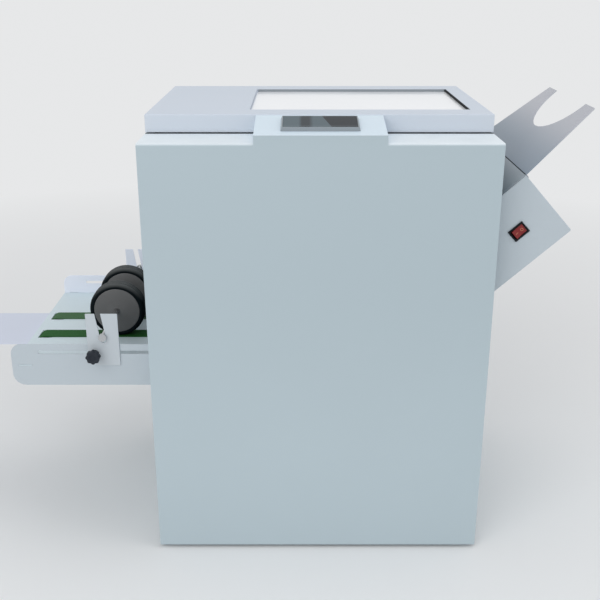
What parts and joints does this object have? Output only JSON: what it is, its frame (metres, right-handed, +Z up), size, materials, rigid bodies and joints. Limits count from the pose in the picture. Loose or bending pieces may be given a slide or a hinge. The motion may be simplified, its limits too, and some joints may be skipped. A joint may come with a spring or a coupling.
{
  "type": "booklet maker",
  "caption": "Floor or bench booklet maker: hinged lid and screen console, inclined fork feed tray, stapling and folding gear inside, belt delivery with press wheels.",
  "frame": {"origin": "middle of the footprint, on the surface that the feet stand on", "axes": "+X from the delivery towards the feed tray, +Y from the front panel towards the back, +Z up"},
  "size_m": [1.108, 0.4556, 0.7279],
  "materials": {
    "cabinet_paint": "pale grey-white powder coat",
    "lid_shell": "pale grey-white satin",
    "inner_paint": "pale grey-white powder coat",
    "window_acrylic": "opal white sheet",
    "screen_glass": "dark gloss touch panel",
    "screen_frame": "grey satin",
    "frame_aluminium": "milled",
    "bare_steel": "brushed",
    "dark_steel": "blackened",
    "roller_rubber": "ground matt",
    "foot_rubber": "matt",
    "black_plastic": "fine satin",
    "red_rocker": "gloss",
    "gear_nylon": "natural nylon",
    "motor_case": "dark enamel",
    "belt_green": "fine woven face",
    "wheel_rubber": "matt foam tyre"
  },
  "bodies": {
    "cabinet": {"base_plate": "cabinet_paint", "foot_front_left": "foot_rubber", "foot_front_right": "foot_rubber", "foot_rear_left": "foot_rubber", "foot_rear_right": "foot_rubber", "front_cover": "cabinet_paint", "right_cover": "cabinet_paint", "left_cover": "cabinet_paint", "rear_cover": "cabinet_paint", "console_housing": "cabinet_paint", "screen_frame": "screen_frame", "screen_glass": "screen_glass", "lid_hinge_left": "bare_steel", "lid_hinge_right": "bare_steel", "frame_front": "frame_aluminium", "frame_rear": "frame_aluminium", "infeed_side_front": "inner_paint", "infeed_side_rear": "inner_paint", "infeed_cover": "inner_paint", "feed_bed": "inner_paint", "fork_tray": "inner_paint", "power_switch_body": "black_plastic", "power_inlet": "black_plastic", "stapler_beam": "dark_steel", "stapler_head_front": "dark_steel", "stapler_head_rear": "dark_steel", "clinch_beam": "dark_steel", "main_motor": "motor_case", "main_drive_belt": "roller_rubber", "delivery_drive_belt": "roller_rubber", "delivery_side_front": "inner_paint", "delivery_side_rear": "inner_paint", "delivery_bed": "inner_paint", "conveyor_belt_front": "belt_green", "conveyor_belt_rear": "belt_green"},
    "lid": {"lid": "lid_shell", "lid_window": "window_acrylic"},
    "rocker": {"power_rocker": "red_rocker"},
    "guide_front": {"side_guide_front": "inner_paint"},
    "guide_rear": {"side_guide_rear": "inner_paint"},
    "driver_front": {"staple_driver_front": "bare_steel"},
    "driver_rear": {"staple_driver_rear": "bare_steel"},
    "lower_roller": {"fold_roller_lower": "roller_rubber", "roller_gear_lower": "gear_nylon"},
    "upper_roller": {"fold_roller_upper": "roller_rubber", "roller_gear_upper": "gear_nylon"},
    "motor_rotor": {"motor_pulley": "gear_nylon"},
    "knife": {"fold_knife": "bare_steel"},
    "knife_pinions": {"knife_shaft": "dark_steel"},
    "stop": {"paper_stop": "bare_steel"},
    "tray": {"delivery_tray": "inner_paint"},
    "idler": {"idler_roller": "dark_steel"},
    "drive": {"drive_roller": "dark_steel"},
    "wheel_carriage": {"press_bracket_front": "inner_paint", "press_bracket_rear": "inner_paint"},
    "knob_front": {"clamp_knob_front": "black_plastic"},
    "knob_rear": {"clamp_knob_rear": "black_plastic"},
    "wheel_axle": {"press_axle": "bare_steel"},
    "wheel_front": {"press_wheel_front": "wheel_rubber"},
    "wheel_rear": {"press_wheel_rear": "wheel_rubber"}
  },
  "joints": [
    {"name": "lid_hinge", "type": "hinge", "parent": "cabinet", "child": "lid", "pos_m": [0.13334, 0.22375, 0.697], "axis": [-1, 0, 0], "range_deg": [0, 100]},
    {"name": "rocker_tilt", "type": "hinge", "parent": "cabinet", "child": "rocker", "pos_m": [0.44209, -0.17685, 0.54555], "axis": [0.6691, 0, -0.7431], "range_deg": [0, 16]},
    {"name": "guide_front_slide", "type": "slide", "parent": "cabinet", "child": "guide_front", "axis": [0, 1, 0], "range_m": [0, 0.09]},
    {"name": "guide_rear_slide", "type": "slide", "parent": "cabinet", "child": "guide_rear", "axis": [0, -1, 0], "range_m": [0, 0.09]},
    {"name": "driver_front_stroke", "type": "slide", "parent": "cabinet", "child": "driver_front", "axis": [0.6691, 0, -0.7431], "range_m": [0, 0.008]},
    {"name": "driver_rear_stroke", "type": "slide", "parent": "cabinet", "child": "driver_rear", "axis": [0.6691, 0, -0.7431], "range_m": [0, 0.008]},
    {"name": "lower_roller_spin", "type": "hinge", "parent": "cabinet", "child": "lower_roller", "pos_m": [0.03029, -0.0035, 0.29856], "axis": [0, 1, 0], "continuous": true},
    {"name": "upper_roller_spin", "type": "hinge", "parent": "cabinet", "child": "upper_roller", "pos_m": [0.05749, -0.0035, 0.32305], "axis": [0, 1, 0], "continuous": true},
    {"name": "motor_spin", "type": "hinge", "parent": "cabinet", "child": "motor_rotor", "pos_m": [0.25334, 0.19175, 0.116], "axis": [0, 1, 0], "continuous": true},
    {"name": "knife_lift", "type": "slide", "parent": "cabinet", "child": "knife", "axis": [-0.6691, 0, 0.7431], "range_m": [0, 0.024]},
    {"name": "knife_pinion_turn", "type": "hinge", "parent": "cabinet", "child": "knife_pinions", "pos_m": [0.11563, -0.0035, 0.26237], "axis": [0, 1, 0], "range_deg": [0, 114.6]},
    {"name": "stop_slide", "type": "slide", "parent": "cabinet", "child": "stop", "axis": [0.7431, 0, 0.6691], "range_m": [-0.09, 0.09]},
    {"name": "tray_hinge", "type": "hinge", "parent": "cabinet", "child": "tray", "pos_m": [-0.37116, -0.0035, 0.311], "axis": [0, -1, 0], "range_deg": [0, 90]},
    {"name": "idler_spin", "type": "hinge", "parent": "cabinet", "child": "idler", "pos_m": [-0.34766, -0.0035, 0.3086], "axis": [0, 1, 0], "continuous": true},
    {"name": "drive_spin", "type": "hinge", "parent": "cabinet", "child": "drive", "pos_m": [-0.03166, -0.0035, 0.3086], "axis": [0, 1, 0], "continuous": true},
    {"name": "wheel_carriage_slide", "type": "slide", "parent": "cabinet", "child": "wheel_carriage", "axis": [1, 0, 0], "range_m": [-0.085, 0.025]},
    {"name": "knob_front_turn", "type": "hinge", "parent": "wheel_carriage", "child": "knob_front", "pos_m": [-0.22896, -0.19, 0.3417], "axis": [0, -1, 0], "range_deg": [0, 270]},
    {"name": "knob_rear_turn", "type": "hinge", "parent": "wheel_carriage", "child": "knob_rear", "pos_m": [-0.22896, 0.183, 0.3417], "axis": [0, 1, 0], "range_deg": [0, 270]},
    {"name": "wheel_lift", "type": "slide", "parent": "wheel_carriage", "child": "wheel_axle", "axis": [-0.1521, 0, 0.9884], "range_m": [0, 0.03]},
    {"name": "wheel_front_spin", "type": "hinge", "parent": "wheel_axle", "child": "wheel_front", "pos_m": [-0.21493, -0.047, 0.3695], "axis": [0, 1, 0], "continuous": true},
    {"name": "wheel_rear_spin", "type": "hinge", "parent": "wheel_axle", "child": "wheel_rear", "pos_m": [-0.21493, 0.04, 0.3695], "axis": [0, 1, 0], "continuous": true}
  ],
  "couplings": [
    {"joint": "guide_rear_slide", "follows": "guide_front_slide", "ratio": 1},
    {"joint": "driver_rear_stroke", "follows": "driver_front_stroke", "ratio": 1},
    {"joint": "upper_roller_spin", "follows": "lower_roller_spin", "ratio": -1},
    {"joint": "motor_spin", "follows": "lower_roller_spin", "ratio": 1.8333},
    {"joint": "drive_spin", "follows": "lower_roller_spin", "ratio": 1.4},
    {"joint": "idler_spin", "follows": "lower_roller_spin", "ratio": 1.4},
    {"joint": "wheel_front_spin", "follows": "lower_roller_spin", "ratio": -0.37862},
    {"joint": "wheel_rear_spin", "follows": "lower_roller_spin", "ratio": -0.37862},
    {"joint": "knife_pinion_turn", "follows": "knife_lift", "rad_per_m": 83.333}
  ]
}
